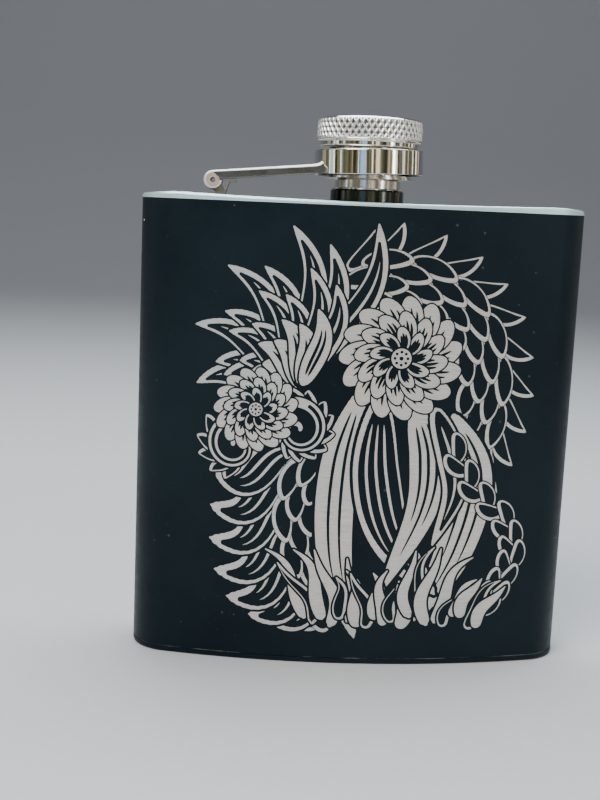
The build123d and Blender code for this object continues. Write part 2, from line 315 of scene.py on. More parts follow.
def draw_ornament():
    """Bouquet of plumes, leaves and scrolls round two flowers."""
    etch = Etching(-37 + 1j, 39 + 96j, 0.1)
    arch = through([-4 + 81j, 6 + 83.5j, 16 + 80.5j, 23.5 + 73j, 26.5 + 62j, 25 + 52j, 21 + 43j], 120)
    fringe(etch, arch, 4.2, 12, 9.5, 0.7, wide=1.35)
    garland(etch, arch, 4, 8.5, 1.6)
    plume_fan(etch, -12 + 60j, 3)

    outer = through([-12 + 9j, -18.5 + 9j, -26 + 13j, -30 + 21j, -31 + 31j, -30 + 41j], 8)
    inner = through([-6 + 18j, -8 + 22j, -10 + 27j, -12 + 35j, -13 + 42j, -13 + 47j], 8)
    droop(etch, inner, outer, 3.2, 0.12, -0.10)
    garland(etch, through([-9 + 47j, -13 + 34j, -9 + 20j, -3 + 9j], 90), 3, 8.0, 1.6)

    def blade(points, wide, **looks):
        leaf(etch, through(points, 40), wide, **looks)

    blade([0 + 60j, -4 + 44j, -4 + 24j, 1 + 6j], 3.6, gap=0.7, peak=0.5, fill=True, veins=2)
    blade([20 + 55j, 25 + 42j, 22 + 26j, 14 + 10j], 4.2, gap=0.7, peak=0.5, fill=True, veins=3)
    blade([4 + 58j, 4 + 42j, 8 + 28j, 18 + 16j], 4.4, rim=0.9, gap=0.7, peak=0.45, veins=3)
    blade([12 + 56j, 15 + 46j, 14 + 34j, 6 + 16j], 3.6, gap=0.7, peak=0.4, fill=True, veins=3)
    blade([16 + 56j, 20 + 46j, 21 + 38j, 17 + 27j], 2.4, rim=0.8, peak=0.4, veins=1)
    plait(etch, through([19 + 50j, 25 + 40j, 32 + 33j, 35 + 26j, 33 + 19j, 30 + 14j], 90), 17, 6.2, 1.2)
    tuft(etch, -10 + 8j, 28 + 9.5j, 21, 15, 4)

    volute(etch, -26 + 47j, 7.0, 2.6, 1.35, -1, 1.0)
    volute(etch, -13 + 51j, 6.0, 0.4, 1.2, 1, 0.9)
    rosette(etch, -22 + 55j, 8.5, 3)
    rosette(etch, 8 + 67j, 12.5, 3)
    return etch


# ---- etched ornament: from field to outlines ----
def contours(etch):
    """Closed lines round the bare parts: marching squares, with the bare side to the left."""
    inside = etch.field < 0
    rows, columns = inside.shape
    corner = [inside[:-1, :-1], inside[:-1, 1:], inside[1:, 1:], inside[1:, :-1]]
    case = sum(c.astype(int) << k for k, c in enumerate(corner))
    # corner k of a cell lies between its sides k - 1 and k: 0 below, 1 right, 2 above, 3 left
    sides = [(0, 0, 0), (0, 1, 1), (1, 0, 0), (0, 0, 1)]     # rows up, columns right, whether upright

    def numbered(side, r, c):
        up, right, upright = sides[side]
        return (2 * ((r + up) * columns + c + right) + upright).tolist()

    follow = {}
    for number in range(1, 15):
        r, c = np.nonzero(case == number)
        bare = [number >> k & 1 for k in range(4)]
        comes = [k for k in range(4) if bare[k] and not bare[(k + 1) % 4]]
        goes = [(k - 1) % 4 for k in range(4) if bare[k] and not bare[k - 1]]
        for come, go in zip(comes, goes):
            follow.update(zip(numbered(come, r, c), numbered(go, r, c)))

    def crossing(ids):
        cell, upright = ids // 2, ids % 2
        r, c = cell // columns, cell % columns
        here = etch.field[r, c]
        there = etch.field[r + upright, c + 1 - upright]
        share = here / (here - there)
        return etch.x[c] + etch.step * share * (1 - upright) + 1j * (etch.z[r] + etch.step * share * upright)

    loops = []
    while follow:
        start, at = follow.popitem()
        ids = [start]
        while at != start:
            ids.append(at)
            at = follow.pop(at)
        loops.append(crossing(np.array(ids)))
    return loops


def simplify(loop, tolerance):
    """Drops points of a closed line that lie within the tolerance of the line without them."""
    line = np.append(loop, loop[0])
    keep = np.zeros(len(line), bool)
    middle = int(np.argmax(np.abs(line - line[0])))
    keep[[0, middle, -1]] = True
    spans = [(0, middle), (middle, len(line) - 1)]
    while spans:
        first, last = spans.pop()
        if last - first < 2:
            continue
        way = line[last] - line[first]
        part = line[first + 1 : last] - line[first]
        along = np.clip((part * np.conj(way)).real / abs(way) ** 2, 0, 1)
        off = np.abs(part - along * way)
        worst = int(np.argmax(off))
        if off[worst] > tolerance:
            split = first + 1 + worst
            keep[split] = True
            spans += [(first, split), (split, last)]
    return line[keep][:-1]


# ---- front panel ----
turn = math.asin((half - side_radius) / (front_radius - side_radius))    # where the front meets the side
front_run = front_radius * turn
side_run = side_radius * (math.pi / 2 - turn)
side_centre_y = front_y + front_radius - (front_radius - side_radius) * math.cos(turn)
panel_run = front_run + side_run + split_y - side_centre_y


def unroll(s):
    """Points and outward directions of the panel's plan outline at distances s along it from its middle."""
    s = np.asarray(s, float)
    a, hand = np.abs(s), np.sign(s)
    side_angle = np.minimum(turn + (a - front_run) / side_radius, math.pi / 2)
    angle = np.where(a < front_run, a / front_radius, side_angle)
    centre_x = np.where(a < front_run, 0, half - side_radius)
    centre_y = np.where(a < front_run, front_y + front_radius, side_centre_y)
    radius = np.where(a < front_run, front_radius, side_radius)
    x = centre_x + radius * np.sin(angle)
    y = centre_y - radius * np.cos(angle) + np.maximum(a - front_run - side_run, 0)
    return np.stack([hand * x, y], 1), np.stack([hand * np.sin(angle), -np.cos(angle)], 1)


def panel_points(s, z, depth):
    """Points of the panel in space, pushed in by depth, and their outward normals."""
    place, out = unroll(s)
    verts = np.column_stack([place - out * np.reshape(depth, (-1, 1)), z])
    return verts, np.column_stack([out, np.zeros(len(verts))])


def triangulate(loops, columns, rows):
    """Triangles of the unrolled panel that follow the loops, and which edges lie on a loop."""
    points = [(s, z) for s in columns for z in rows]
    edges = []
    for loop in loops:
        start = len(points)
        points += [(p.real, p.imag) for p in loop]
        edges += [(start + k, start + (k + 1) % len(loop)) for k in range(len(loop))]
    flat = [Vector(p) for p in points]
    verts, new_edges, faces, _, source, _ = delaunay_2d_cdt(flat, edges, [], 0, 1e-6)
    verts = np.array([tuple(v) for v in verts])
    tris = np.array([f[:3] for f in faces])
    a, b, c = (verts[tris[:, k]] for k in range(3))
    area = (b[:, 0] - a[:, 0]) * (c[:, 1] - a[:, 1]) - (b[:, 1] - a[:, 1]) * (c[:, 0] - a[:, 0])
    tris[area < 0] = tris[area < 0][:, ::-1]
    fixed = {tuple(sorted(e)) for e, origin in zip(new_edges, source) if origin}
    return verts, tris, np.abs(area), fixed


def bare_triangles(etch, verts, tris, area, fixed):
    """Which triangles are bare steel: each region between loops is judged as a whole."""
    beside = {}
    for t, tri in enumerate(tris.tolist()):
        for k in range(3):
            beside.setdefault(tuple(sorted((tri[k], tri[k - 1]))), []).append(t)
    near = [[] for _ in tris]
    for edge, pair in beside.items():
        if len(pair) == 2 and edge not in fixed:
            near[pair[0]].append(pair[1])
            near[pair[1]].append(pair[0])
    middle = verts[tris].mean(1)
    column = np.clip(np.rint((middle[:, 0] - etch.x[0]) / etch.step).astype(int), 0, len(etch.x) - 1)
    row = np.clip(np.rint((middle[:, 1] - etch.z[0]) / etch.step).astype(int), 0, len(etch.z) - 1)
    vote = np.sign(-etch.field[row, column]) * area
    region = np.full(len(tris), -1)
    for seed in range(len(tris)):
        if region[seed] >= 0:
            continue
        region[seed] = seed
        stack = [seed]
        while stack:
            for other in near[stack.pop()]:
                if region[other] < 0:
                    region[other] = seed
                    stack.append(other)
    total = np.bincount(region, weights=vote, minlength=len(tris))
    return total[region] > 0, beside


def face_normal(a, b, c):
    """Unit normal of the plane through three points."""
    across = np.cross(b - a, c - a)
    return (across / (np.linalg.norm(across) + 1e-12)).tolist()


class Skin:
    """Faces gathered for a mesh, each with its material slot and the normals of its corners."""

    def __init__(self):
        self.faces, self.slots, self.normals = [], [], []

    def add(self, face, slot, normals):
        self.faces.append(face)
        self.slots.append(slot)
        self.normals += normals


def add_outer_skin(skin, flat, tris, bare, normal):
    """Coat where it is left, sunk steel where it is bare, and the scuffed chamfer along the lower edge."""
    height = flat[:, 1][tris]
    on_edge = (height.min(1) < floor_z + 1e-4) & (height.max(1) < floor_z + 1.5 * edge_chamfer)
    slots = np.where(bare, 1, np.where(on_edge, 2, 0)).tolist()
    for tri, sunk, slot in zip(tris, bare, slots):
        skin.add(tuple((tri + len(flat) * sunk).tolist()), slot, normal[tri].tolist())


def add_coat_walls(skin, tris, beside, bare, outer, sunk):
    """Upright walls of the coat round the bare parts."""
    count = len(outer)
    for (a, b), pair in beside.items():
        if len(pair) == 2 and bare[pair[0]] != bare[pair[1]]:
            coated = tris[pair[0] if bare[pair[1]] else pair[1]].tolist()
            if coated[(coated.index(a) + 1) % 3] != b:
                a, b = b, a
            skin.add((b, a, a + count, b + count), 0, [face_normal(outer[a], outer[b], sunk[a])] * 4)


def add_inner_skin(skin, flat, outer, columns, rows):
    """Inner face of the sheet, and the rim that joins it to the outer one. Returns the inner points."""
    wide, tall, first = len(columns), len(rows), 2 * len(flat)
    index = {(round(p, 2), round(q, 2)): k for k, (p, q) in enumerate(flat.tolist())}
    grid_s, grid_z = np.meshgrid(columns, rows, indexing="ij")
    inner, normal = panel_points(grid_s.ravel(), grid_z.ravel(), np.full(grid_s.size, sheet))

    def inside(i, j):
        return first + i * tall + j

    def outside(i, j):
        return index[(round(columns[i], 2), round(rows[j], 2))]

    for i in range(wide - 1):
        for j in range(tall - 1):
            quad = (inside(i, j), inside(i, j + 1), inside(i + 1, j + 1), inside(i + 1, j))
            skin.add(quad, 1, [(-normal[q - first]).tolist() for q in quad])
    rim = [(i, 0) for i in range(wide)] + [(wide - 1, j) for j in range(1, tall)]
    rim += [(i, tall - 1) for i in range(wide - 2, -1, -1)] + [(0, j) for j in range(tall - 2, 0, -1)]
    for here, after in zip(rim, rim[1:] + rim[:1]):
        quad = (outside(*after), outside(*here), inside(*here), inside(*after))
        corners = [outer[quad[0]], outer[quad[1]], inner[quad[2] - first]]
        skin.add(quad, 2, [face_normal(*corners)] * 4)
    return inner


def make_front_panel(coat, steel, edge):
    """The front panel: coated sheet with the ornament sunk through the coat, closed behind."""
    etch = draw_ornament()
    loops = [simplify(loop, line_tolerance) for loop in contours(etch)]
    loops = [p for p in loops if len(p) > 3 and np.ptp(p.real) + np.ptp(p.imag) > smallest_mark]
    front = np.linspace(-front_run, front_run, 33)
    corner = np.linspace(front_run, front_run + side_run, 17)[1:]
    columns = np.concatenate([[-panel_run], -corner[::-1], front, corner, [panel_run]])
    rows = np.concatenate([[floor_z, floor_z + edge_chamfer], np.linspace(floor_z, seam_z, 25)[1:]])
    flat, tris, area, fixed = triangulate(loops, columns, rows)
    bare, beside = bare_triangles(etch, flat, tris, area, fixed)

    s, z = flat.T
    depth = np.where(z < floor_z + 1e-4, edge_chamfer, 0.0)
    outer, normal = panel_points(s, z, depth)
    sunk, _ = panel_points(s, z, depth + etch_depth)
    skin = Skin()
    add_outer_skin(skin, flat, tris, bare, normal)
    add_coat_walls(skin, tris, beside, bare, outer, sunk)
    inner = add_inner_skin(skin, flat, outer, columns, rows)

    verts = np.concatenate([outer, sunk, inner])
    used = np.unique(np.concatenate(skin.faces, axis=None))
    renumber = np.full(len(verts), -1)
    renumber[used] = np.arange(len(used))
    faces = [tuple(renumber[list(f)].tolist()) for f in skin.faces]
    materials = [coat, steel, edge]
    panel = make_object("etched_front_panel", verts[used], faces, materials, skin.slots, skin.normals)
    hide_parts("front_panel")
    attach(panel, "flask")


# ---- knob ----
ridge_count = 52                 # ridges of each hand round the knob
ridge_height = 0.30
ridge_lean = math.tan(math.radians(33))
ridge_columns = 16               # mesh columns from one ridge to the next
ridge_half = 0.27                # half width of a ridge, as a share of the way to the next
groove_fade = 0.25               # the grooves run out over this height at both ends of the band
band_low, band_top = deck_z + 12.78, deck_z + 16.75
shoulder = 1.25                  # radius of the knob's upper edge
shoulder_top = deck_z + 17.2
step_r = 10.4                    # stepped-in lower part of the knob
step_z = deck_z + 12.35
lip_r = knob_r - 2.8             # opening of the rolled-in lip


def knob_radius(z):
    """Radius of the knurled band at height z: upright below, rounded over at the shoulder."""
    over = np.clip((z - (shoulder_top - shoulder)) / shoulder, 0, 1)
    return knob_r - 0.02 - shoulder * (1 - np.sqrt(1 - over**2))


def knob_outline():
    """Outline of the knob's shell as (radius, height), and which of its points carry the knurl."""
    crown = knob_high[2]
    row_step = 2 * math.pi * knob_r / ridge_count / ridge_columns / ridge_lean
    heights = np.arange(band_top, band_low, -row_step)
    edge_r = float(knob_radius(band_top))
    dome_r = edge_r - 0.55
    dome_fall = crown - band_top - 0.38
    dome = [(r, crown - dome_fall * (r / dome_r) ** 2.6) for r in np.linspace(0.02, dome_r, 16)]
    rim_heights = np.linspace(band_top + 0.34, band_top + 0.06, 6)
    rim = [(float(knob_radius(z)) - 0.03, z) for z in rim_heights]
    band = [(float(knob_radius(z)), z) for z in heights]
    bead = arc((knob_r - 0.22, step_z + 0.22), 0.22, 50, -80, 9)
    step = [(step_r + 0.08, step_z)]
    step += [(step_r, z) for z in np.linspace(step_z - 0.08, knob_low[2] + 0.37, 6)]
    curl = arc((step_r - 0.35, knob_low[2] + 0.35), 0.35, 0, -90, 7)
    lip = [(lip_r, knob_low[2]), (lip_r, knob_low[2] + 0.7)]
    hollow_r = knob_r - 0.9
    hollow = [(step_r - 0.6, step_z + 0.3), (hollow_r, step_z + 0.8), (hollow_r, band_top - 0.6)]
    hollow.append((0.02, band_top - 0.4))
    first = len(dome) + len(rim)
    return dome + rim + band + bead + step + curl + lip + hollow, range(first, first + len(band))


def make_knob(knurled_material, smooth_material):
    """Knob with a diamond knurl: two families of rounded ridges that cross on its band."""
    outline, knurled = knob_outline()
    height = np.array([z for _, z in outline])
    ends = height[knurled[0]], height[knurled[-1]]

    def ridges(angle, row):
        """Change of radius along a row: grooves are sunk between ridges that keep the outline's radius."""
        if row not in knurled:
            return np.zeros_like(angle)
        shift = (height[row] - band_low) * ridge_lean / knob_r
        fade = np.clip(min(ends[0] - height[row], height[row] - ends[1]) / groove_fade, 0, 1)
        crest = np.zeros_like(angle)
        for hand in (-1, 1):
            phase = (angle + hand * shift) * ridge_count / (2 * np.pi) % 1
            crest = np.maximum(crest, np.clip(1 - (np.abs(phase - 0.5) / ridge_half) ** 2, 0, 1))
        return -ridge_height * fade * (1 - crest)

    columns = ridge_count * ridge_columns
    verts, faces = revolve(outline, (0, neck_y), columns, ridges)
    slots = np.repeat([int(row not in knurled) for row in range(len(outline))], columns)
    knob = make_object("knurled_knob", verts, faces, [knurled_material, smooth_material], slots, sharp=50)
    plain = np.repeat([r for r, _ in outline], columns)
    depth = (plain - np.hypot(verts[:, 0], verts[:, 1] - neck_y)) / ridge_height
    # depth of the grooves, which the knurled material turns into painted shade
    groove = knob.data.attributes.new("groove", "FLOAT", "POINT")
    groove.data.foreach_set("value", np.clip(depth, 0, 1).astype(np.float32))
    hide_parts("cap_knob")
    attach(knob, "cap")


# ---- arm and ring ----
arm_half = pin_high[1] - neck_y + 0.05   # half width at the hinge
arm_half_ring = 5.8              # half width where the arm meets the ring
arm_sheet = 0.75
arm_depth = 1.78                 # depth of the channel's two walls
arm_rise = 0.1005                # slope of the arm, up towards the ring
arm_flare = 0.55                 # how high the web turns up where it meets the ring
curl_r = 1.93
curl_middle = 1.6                # radius in the middle of a curl's wall
curl_low = 1.9                   # inner end of each curl, beside the bracket's knuckle
curl_round = 0.26                # rounded outer edge of a curl
curl_start, curl_wrap = 84, 274  # where a curl begins and how far it goes round, in degrees
notch_end = pin_x + curl_r + 0.5     # the web is cut away round the knuckle up to here
ring_wall = 0.75
ring_tilt = math.radians(1.7)
ring_height = 5.15
ring_sink = 0.25                 # how far the channel runs into the ring's wall
hole_r = 7.35
ring_centre = np.array((0, neck_y, deck_z + 10.7 - ring_wall / 2))   # middle of the hole in its top


def web_height(x):
    """Upper face of the arm at x."""
    return pin_z + curl_r * math.sqrt(1 + arm_rise**2) + arm_rise * (x - pin_x)


def ring_mesh():
    """The ring, a shallow cup open below that leans up on the side away from the hinge."""
    top, low = ring_wall / 2, ring_wall / 2 - ring_height
    cup_r = ring_r - ring_wall
    bevel = 0.30
    outline = [(hole_r, top), (hole_r + 0.6, top)]
    outline += arc((ring_r - bevel, top - bevel), bevel, 90, 0, 10)
    outline += [(ring_r, z) for z in np.linspace(top - bevel - 0.05, low + 0.17, 6)]
    outline += arc((ring_r - 0.12, low + 0.12), 0.12, 0, -90, 5)
    outline += [(cup_r, low), (cup_r, -top - 0.3), (cup_r - 0.3, -top), (hole_r, -top)]
    verts, faces = revolve(outline, (0, 0), 256)
    turned_up = Matrix.Rotation(-ring_tilt, 3, "Y")
    return verts @ np.array(turned_up).T + ring_centre, faces


def channel_section(half_width, bend):
    """Section of the arm's folded sheet, an upside-down U: (y, drop below the web's upper face)."""
    inner = half_width - arm_sheet
    outside = arc((half_width - bend, -bend), bend, 90, 0, 8)
    outside += [(half_width, 0.08 - arm_depth), (half_width - 0.08, -arm_depth), (inner + 0.08, -arm_depth)]
    outside += [(inner, 0.08 - arm_depth), (inner, -arm_sheet - 0.2), (inner - 0.2, -arm_sheet)]
    return outside + [(-y, z) for y, z in outside[::-1]]


def strap_section(half_width, bend):
    """Section of the strap that carries a curl, beside the bracket's knuckle: one half of the U."""
    whole = channel_section(half_width, bend)
    return whole[: len(whole) // 2] + [(curl_low, -arm_sheet), (curl_low, 0)]


def strap_start(drop):
    """Where a strap begins, inside the wall of its curl and clear of the pin."""
    return pin_x - 0.12 + math.sqrt(max(curl_middle**2 - (curl_r + drop) ** 2, 0))


def wall_of_ring(y):
    """Where the channel ends, just inside the ring's upright wall."""
    return ring_sink - math.sqrt(ring_r**2 - y**2)


def loft_arm(section, shares, start, end, capped):
    """Skins a run of the arm's section, and says which faces are its flat outer sides.

    shares are the places along the arm, from 0 at the pin. start(drop) and end(y) give x at the run's ends.
    """
    verts = []
    for share in shares:
        half_width = arm_half + (arm_half_ring - arm_half) * share
        points = section(half_width, 0.34 + 0.2 * share)
        along = (share - shares[0]) / (shares[-1] - shares[0])
        for y, drop in points:
            x = start(drop) + (end(y) - start(drop)) * along
            from_ring = max(wall_of_ring(y) - ring_sink - x, 0)
            lift = arm_flare * math.exp(-from_ring / 0.5) if drop > -arm_sheet else 0
            verts.append((x, neck_y + y, web_height(x) + drop + lift))
    size = len(points)
    faces = quads(len(shares), size)
    at_side = [math.isclose(abs(y), half_width) for y, _ in points]
    on_wall = [at_side[k] and at_side[(k + 1) % size] for k in range(size)] * (len(shares) - 1)
    if capped:
        faces.append(tuple(range(size)))
        faces.append(tuple(range((len(shares) - 1) * size, len(shares) * size))[::-1])
        on_wall += [False, False]
    return np.array(verts), faces, on_wall


def channel_parts():
    """The two straps beside the notch for the bracket's knuckle, and the channel from there to the ring."""
    share = (notch_end - pin_x) / (-ring_r - pin_x)
    straps = loft_arm(strap_section, np.linspace(0, share, 5), strap_start, lambda y: notch_end, False)
    mirrored = straps[0] * (1, -1, 1) + (0, 2 * neck_y, 0)
    near_ring = 1 - 0.1 * (1 - np.linspace(0, 1, 9)[1:]) ** 1.5
    shares = np.concatenate([np.linspace(share, 0.9, 9), near_ring])
    channel = loft_arm(channel_section, shares, lambda drop: notch_end, wall_of_ring, True)
    return [straps, (mirrored, *straps[1:]), channel]


def curl_mesh(low, high):
    """Sheet rolled three quarters of the way round the pin, with its outer edges rounded over."""
    count = 55
    curl_end = curl_start + curl_wrap
    lean = np.linspace(0, math.pi / 2, 6)
    rounded = [(curl_round * (1 - math.sin(a)), curl_round * (1 - math.cos(a))) for a in lean]
    stations = [(low + way, drop) for way, drop in rounded[::-1]]
    stations += [(high - way, drop) for way, drop in rounded]
    verts = []
    for y, drop in stations:
        outer = arc((pin_x, pin_z), curl_r - drop, curl_start, curl_end, count)
        inner = arc((pin_x, pin_z), pin_r + 0.02, curl_end, curl_start, count)
        verts += [(x, neck_y + y, z) for x, z in outer + inner]
    loop = 2 * count
    faces = [(a, d, c, b) for a, b, c, d in quads(len(stations), loop)]
    last = (len(stations) - 1) * loop
    for k in range(count - 1):
        a, b, c, d = k, k + 1, loop - 2 - k, loop - 1 - k
        faces.append((a, d, c, b))
        faces.append((last + a, last + b, last + c, last + d))
    return np.array(verts), faces


def make_arm(mirror, brushed_and_shaded, rolled):
    """The arm as one piece: mirror-bright ring, channel whose side walls have a brush-marked grain and are
    darkened with painted shade, and a web and two curls round the pin made near white with painted highlight.
    """
    ring_verts, ring_faces = ring_mesh()
    parts = [(ring_verts, ring_faces, [0] * len(ring_faces))]
    for part_verts, part_faces, on_wall in channel_parts():
        # side walls take the steel darkened with painted shade; the web, the rest of the channel and the
        # curls below take the steel made near white with painted highlight
        parts.append((part_verts, part_faces, [1 if wall else 2 for wall in on_wall]))
    for low, high in ((curl_low, arm_half), (-arm_half, -curl_low)):
        curl_verts, curl_faces = curl_mesh(low, high)
        parts.append((curl_verts, curl_faces, [2] * len(curl_faces)))
    verts = np.concatenate([part_verts for part_verts, _, _ in parts])
    faces, slots, base = [], [], 0
    for part_verts, part_faces, part_slots in parts:
        faces += [tuple(base + v for v in face) for face in part_faces]
        slots += part_slots
        base += len(part_verts)
    arm = make_object("stamped_arm", verts, faces, [mirror, brushed_and_shaded, rolled], slots, sharp=32)
    mend_normals(arm)
    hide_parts("cap_arm")
    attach(arm, "arm")


def mend_normals(obj):
    """Turns all faces of a piece outwards."""
    shape = bmesh.new()
    shape.from_mesh(obj.data)
    bmesh.ops.recalc_face_normals(shape, faces=shape.faces)
    shape.to_mesh(obj.data)
    shape.free()


# ---- neck boss ----
def make_boss(turned_material, weld_material):
    """The turned collar round the spout, with a thin ragged bead of weld in the corner above it."""
    top, low = boss_high[2], boss_low[2]
    weld = [(0, 0.30), (0.14, 0.27), (0.28, 0.16), (0.34, 0)]
    weld = [(neck_r + out, top + up) for out, up in weld]
    collar = [(boss_r - 0.34, top), (boss_r - 0.30, top), (boss_r, top - 0.30)]
    collar += [(boss_r, low), (neck_r, low)]
    draw = np.random.default_rng(11)
    waves = [(draw.integers(9, 60), draw.uniform(0, 2 * np.pi)) for _ in range(9)]

    def ragged(angle, row):
        if row not in (1, 2, 3):
            return 0
        return 0.028 * sum(np.sin(count * angle + phase + 0.5 * row) for count, phase in waves)

    columns = 360
    verts, faces = revolve(weld + collar, (0, neck_y), columns, ragged)
    slots = np.repeat([int(row < 3) for row in range(len(weld + collar))], columns)
    boss = make_object("welded_boss", verts, faces, [turned_material, weld_material], slots, sharp=30)
    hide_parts("neck_boss")
    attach(boss, "flask")


# ---- materials ----
class Shader:
    """A node tree with short ways to add to it: a new material's, or one that is given."""

    def __init__(self, name, tree=None, **values):
        if tree is None:
            self.material = bpy.data.materials.new(name)
            self.material.use_nodes = True
            tree = self.material.node_tree
        self.tree = tree
        self.surface = tree.nodes.get("Principled BSDF")
        for socket, value in values.items():
            self.surface.inputs[socket.replace("_", " ")].default_value = value
        self.place = self.add("ShaderNodeTexCoord").outputs["Object"]

    def add(self, kind, values=None, **settings):
        """One node. values sets its inputs, by name or number, to a number, a colour or a node's output."""
        node = self.tree.nodes.new(kind)
        for key, value in settings.items():
            setattr(node, key, value)
        for key, value in (values or {}).items():
            if isinstance(value, bpy.types.NodeSocket):
                self.tree.links.new(value, node.inputs[key])
            else:
                node.inputs[key].default_value = value
        return node

    def drive(self, socket, output):
        self.tree.links.new(output, self.surface.inputs[socket])

    def stretched(self, scale):
        """The object's coordinates, in metres, times a scale along each axis."""
        return self.add("ShaderNodeMapping", {"Vector": self.place, "Scale": scale}).outputs["Vector"]

    def noise(self, scale, detail=3.0, rough=0.5, place=None):
        values = {"Vector": place or self.place, "Scale": scale, "Detail": detail, "Roughness": rough}
        return self.add("ShaderNodeTexNoise", values).outputs["Fac"]

    def ramp(self, value, low, high, to_low=0.0, to_high=1.0, smooth=False):
        """Maps a value from one range to another."""
        kind = "SMOOTHSTEP" if smooth else "LINEAR"
        values = {"Value": value, 1: low, 2: high, 3: to_low, 4: to_high}
        return self.add("ShaderNodeMapRange", values, interpolation_type=kind).outputs[0]

    def mix(self, share, first, second):
        values = {0: share, 6: first, 7: second}
        return self.add("ShaderNodeMix", values, data_type="RGBA").outputs[2]

    def maths(self, operation, first, second=0.0):
        return self.add("ShaderNodeMath", {0: first, 1: second}, operation=operation).outputs[0]

    def bump(self, height, distance, strength=1.0):
        """Adds a bump, in millimetres, to whatever bump there is already."""
        values = {"Height": height, "Distance": distance * MM, "Strength": strength}
        if self.surface.inputs["Normal"].links:
            values["Normal"] = self.surface.inputs["Normal"].links[0].from_socket
        self.drive("Normal", self.add("ShaderNodeBump", values).outputs["Normal"])


def darker(colour, share):
    return tuple(share * c for c in colour[:3]) + (1,)


def dust(shader, colour, rough):
    """Pale specks over a colour and a roughness: a haze of fine ones, some larger and a few bright ones."""
    layers = ((700.0, 0.20, 0.17, 0.020), (330.0, 0.40, 0.10, 0.06), (150.0, 0.70, 0.045, 0.50))
    for scale, rarity, size, pale in layers:
        cells = shader.add("ShaderNodeTexVoronoi", {"Vector": shader.place, "Scale": scale})
        luck = shader.add("ShaderNodeSeparateColor", {0: cells.outputs["Color"]}).outputs[0]
        reach = shader.maths("ADD", shader.ramp(luck, rarity, 1.0, 0.0, size), 0.0001)
        nearness = shader.maths("DIVIDE", cells.outputs["Distance"], reach)
        speck = shader.ramp(nearness, 0.7, 1.2, 1.0, 0.0)
        colour = shader.mix(speck, colour, (pale, 1.03 * pale, 1.03 * pale, 1))
        rough = shader.mix(speck, rough, (0.9, 0.9, 0.9, 1))
    shader.drive("Base Color", colour)
    shader.drive("Roughness", rough)


def black_coat(name):
    """Satin powder coat: near black with a green-blue cast, a broad random mottle that is partly haze and
    partly painted sheen, fine orange peel and a few specks of dust.
    """
    shader = Shader(name, Metallic=0.0, Specular_IOR_Level=0.19, Specular_Tint=(0.72, 0.93, 1.0, 1))
    # broad mottle of the base colour: partly haze on the coat, partly painted sheen
    haze_and_sheen = shader.ramp(shader.noise(24.0, 5.0, 0.55), 0.36, 0.68)
    colour = shader.mix(haze_and_sheen, (0.0014, 0.0044, 0.0078, 1), (0.0064, 0.0132, 0.0172, 1))
    rough = shader.ramp(shader.noise(420.0, 5.0, 0.6), 0.3, 0.7, 0.36, 0.5)
    dust(shader, colour, rough)
    shader.bump(shader.noise(2300.0, 2.0), 0.012)
    shader.bump(shader.noise(160.0, 2.0), 0.02)
    return shader


def mix_in_wear_and_highlight(shader, wear_and_highlight, colour, rough):
    """Mixes in a colour, a roughness and some metal where the mask is 1: bare steel where it marks wear, a
    painted highlight where it marks the top plate's rim.
    """
    for socket, value in (("Base Color", colour), ("Roughness", (rough, rough, rough, 1))):
        below = shader.surface.inputs[socket].links[0].from_socket
        shader.drive(socket, shader.mix(wear_and_highlight, below, value))
    shader.drive("Metallic", shader.maths("MULTIPLY", wear_and_highlight, 0.75))


def etched_steel():
    """Steel bared by a laser: warm and matt, with the fine level hatch of the beam's passes."""
    shader = Shader("laser_bared_steel", Metallic=0.85)
    tint = shader.ramp(shader.noise(45.0, 2.0), 0.35, 0.65)
    base = shader.mix(tint, (0.83, 0.745, 0.70, 1), (0.72, 0.735, 0.69, 1))
    hatch = shader.noise(1.0, 2.0, 0.6, shader.stretched((260.0, 260.0, 7000.0)))
    streak = shader.ramp(hatch, 0.32, 0.68)
    shader.drive("Base Color", shader.mix(streak, base, (0.59, 0.56, 0.52, 1)))
    shader.drive("Roughness", shader.ramp(hatch, 0.3, 0.7, 0.42, 0.56))
    shader.bump(hatch, 0.012)
    shader.bump(shader.noise(5200.0, 2.0), 0.006)
    return shader.material


def steel(name, colour, low, high, grain, depth, warp=0.0, metal=1.0):
    """Plain steel with a grain. grain scales the noise that makes it along each axis, depth is in mm."""
    shader = Shader(name, Metallic=metal)
    lines = shader.noise(1.0, 3.0, 0.6, shader.stretched(grain))
    smear = shader.noise(330.0, 5.0, 0.65)
    stain = shader.ramp(smear, 0.48, 0.75, 0.0, 0.35)
    dark = darker(colour, 0.62)
    shader.drive("Base Color", shader.mix(stain, colour, dark))
    shader.drive("Roughness", shader.ramp(smear, 0.3, 0.75, low, high))
    shader.bump(lines, depth)
    if warp:
        shader.bump(shader.noise(150.0, 1.0), warp)
    return shader.material


def knurled_steel():
    """Bright steel whose grooves are darkened with painted shade."""
    shader = Shader("knurled_steel", Metallic=1.0)
    groove = shader.add("ShaderNodeAttribute", attribute_name="groove").outputs["Fac"]
    # painted shade: the grooves go from bright steel towards (0.23, 0.23, 0.20) as they deepen
    groove_shade = shader.ramp(groove, 0.2, 0.85, 0.0, 1.0)
    smear = shader.noise(900.0, 4.0)
    colour = shader.mix(groove_shade, (0.99, 0.98, 0.95, 1), (0.23, 0.23, 0.20, 1))
    shader.drive("Base Color", colour)
    shader.drive("Roughness", shader.ramp(smear, 0.3, 0.7, 0.20, 0.34))
    shader.bump(shader.noise(2600.0, 3.0), 0.006)
    return shader.material


